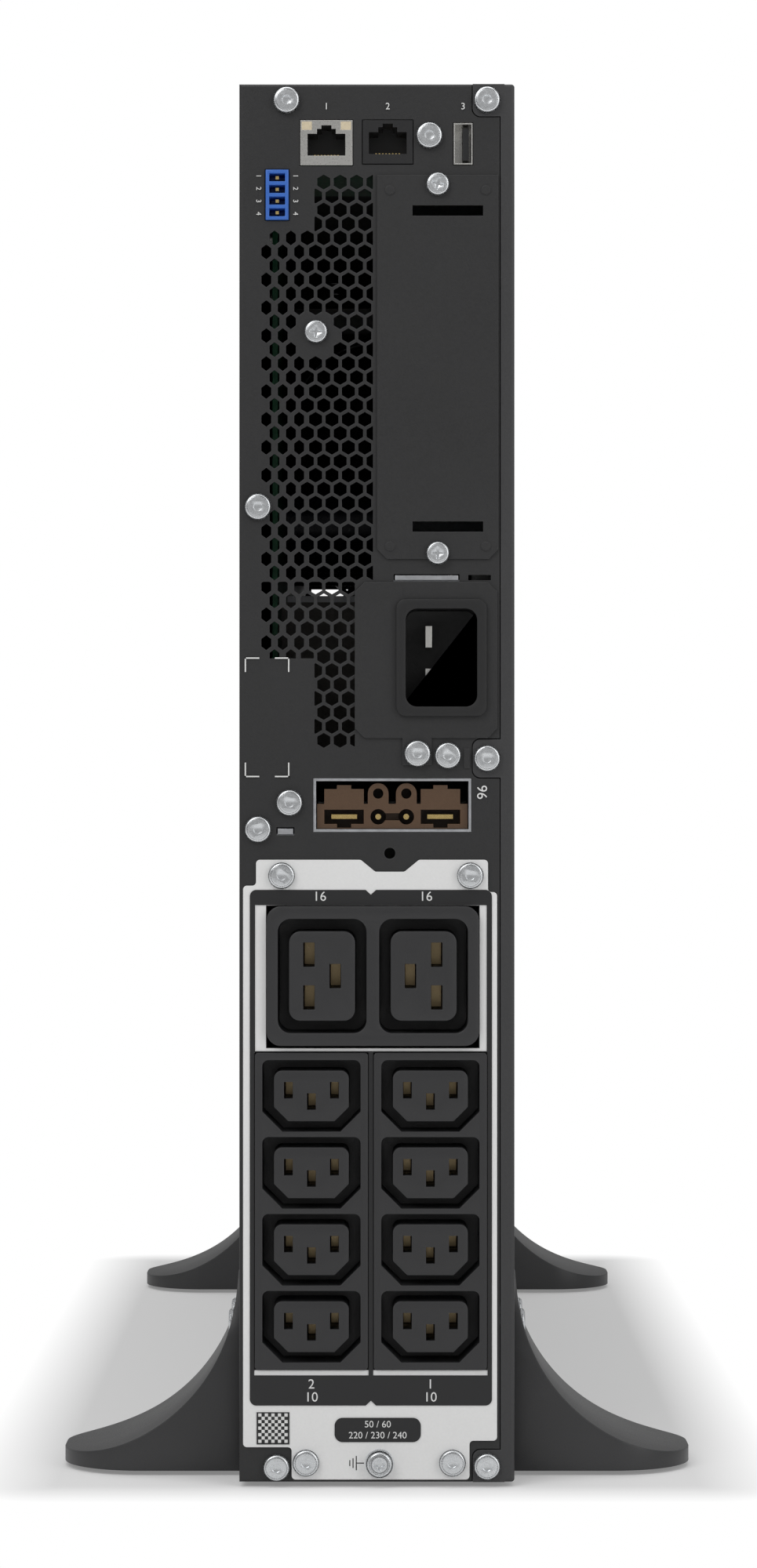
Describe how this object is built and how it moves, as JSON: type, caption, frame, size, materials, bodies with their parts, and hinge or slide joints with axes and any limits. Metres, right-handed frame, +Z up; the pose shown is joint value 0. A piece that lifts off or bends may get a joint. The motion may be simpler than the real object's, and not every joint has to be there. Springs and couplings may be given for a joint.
{
  "type": "rackmount ups",
  "caption": "Two-unit-high double-conversion power supply standing upright on tower feet, with rear outlets, mains inlet, signal ports and a front-loading battery module.",
  "frame": {"origin": "on the floor, under the middle of the standing chassis", "axes": "+Z up; +Y from the rear panel towards the front bezel; +X across the narrow width, to the right when the rear panel is seen"},
  "size_m": [0.199, 0.6397, 0.4335],
  "materials": {
    "dark_sheet": "fine orange-peel powder coat",
    "cover_sheet": "fine orange-peel powder coat",
    "light_sheet": "smooth light paint",
    "zinc": "bright zinc plate",
    "galvanised": "plain galvanised sheet",
    "black_plastic": "fine moulded grain",
    "foot_plastic": "satin moulded",
    "bezel_plastic": "fine moulded grain",
    "label_film": "printed film",
    "blue_plastic": "moulded",
    "brown_plastic": "moulded",
    "lamp_plastic": "translucent",
    "gold": "gold flash",
    "brass_contact": "plain",
    "nickel": "nickel plate",
    "rubber": "matt",
    "circuit_board": "solder mask",
    "aluminium_fin": "extruded",
    "capacitor_sleeve": "shrink sleeve",
    "core_steel": "laminated",
    "battery_plastic": "moulded block",
    "display_glass": "hard-coated window",
    "key_plastic": "soft touch"
  },
  "bodies": {
    "chassis": {"battery_port_housing": "brown_plastic", "battery_port_tunnel": "galvanised", "battery_runners": "black_plastic", "bay_divider": "galvanised", "board_standoffs": "nickel", "bracket_hooks": "galvanised", "capacitors": "capacitor_sleeve", "card_cage": "galvanised", "chassis_cover": "cover_sheet", "chassis_tray": "dark_sheet", "cover_screws": "zinc", "fan_frames": "black_plastic", "foot_front_left": "foot_plastic", "foot_front_right": "foot_plastic", "foot_pads": "rubber", "foot_rear_left": "foot_plastic", "foot_rear_right": "foot_plastic", "foot_screws": "zinc", "front_bezel": "bezel_plastic", "front_frame": "galvanised", "ground_screw": "zinc", "ground_washer": "zinc", "heat_sinks": "aluminium_fin", "inlet_body": "black_plastic", "inlet_pins": "nickel", "inlet_plate": "dark_sheet", "io_board": "circuit_board", "large_outlet_block": "black_plastic", "network_jack_insert": "black_plastic", "network_jack_lamps": "lamp_plastic", "network_jack_shell": "nickel", "outlet_bank_left": "black_plastic", "outlet_bank_right": "black_plastic", "outlet_label": "label_film", "outlet_plate": "light_sheet", "outlet_terminals": "brass_contact", "panel_screws": "zinc", "port_contacts": "gold", "power_board": "circuit_board", "rear_panel": "dark_sheet", "serial_jack": "black_plastic", "terminal_header": "blue_plastic", "transformer": "core_steel", "usb_shell": "nickel", "usb_tongue": "black_plastic"},
    "battery_module": {"battery_tray": "galvanised", "battery_handle": "black_plastic", "battery_blocks": "battery_plastic"},
    "battery_door": {"battery_cover": "bezel_plastic"},
    "upper_rotor": {"fan_rotor_upper": "black_plastic"},
    "lower_rotor": {"fan_rotor_lower": "black_plastic"},
    "display": {"display_head": "bezel_plastic", "display_window": "display_glass"},
    "up_key": {"key_up": "key_plastic"},
    "down_key": {"key_down": "key_plastic"},
    "enter_key": {"key_enter": "key_plastic"},
    "escape_key": {"key_escape": "key_plastic"},
    "button": {"power_button": "key_plastic"},
    "card_lid": {"card_slot_cover": "dark_sheet", "card_slot_screws": "zinc"}
  },
  "joints": [
    {"name": "fan_upper_spin", "type": "hinge", "parent": "chassis", "child": "upper_rotor", "pos_m": [-0.00015, 0.2783, 0.3768], "axis": [0, 1, 0], "continuous": true},
    {"name": "fan_lower_spin", "type": "hinge", "parent": "chassis", "child": "lower_rotor", "pos_m": [-0.00015, 0.2783, 0.2908], "axis": [0, 1, 0], "continuous": true},
    {"name": "battery_slide", "type": "slide", "parent": "chassis", "child": "battery_module", "axis": [0, 1, 0], "range_m": [0, 0.38]},
    {"name": "battery_cover_pull", "type": "slide", "parent": "battery_module", "child": "battery_door", "axis": [0, 1, 0], "range_m": [0, 0.06]},
    {"name": "display_turn", "type": "hinge", "parent": "chassis", "child": "display", "pos_m": [0, 0.3095, 0.3895], "axis": [0, 1, 0], "range_deg": [0, 90]},
    {"name": "key_up_press", "type": "slide", "parent": "display", "child": "up_key", "axis": [0, -1, 0], "range_m": [0, 0.001], "stiffness_N_per_m": 600},
    {"name": "key_down_press", "type": "slide", "parent": "display", "child": "down_key", "axis": [0, -1, 0], "range_m": [0, 0.001], "stiffness_N_per_m": 600},
    {"name": "key_enter_press", "type": "slide", "parent": "display", "child": "enter_key", "axis": [0, -1, 0], "range_m": [0, 0.001], "stiffness_N_per_m": 600},
    {"name": "key_escape_press", "type": "slide", "parent": "display", "child": "escape_key", "axis": [0, -1, 0], "range_m": [0, 0.001], "stiffness_N_per_m": 600},
    {"name": "power_button_press", "type": "slide", "parent": "chassis", "child": "button", "axis": [0, -1, 0], "range_m": [0, 0.0015], "stiffness_N_per_m": 600},
    {"name": "card_cover_lift", "type": "slide", "parent": "chassis", "child": "card_lid", "axis": [0, -1, 0], "range_m": [0, 0.05]}
  ]
}
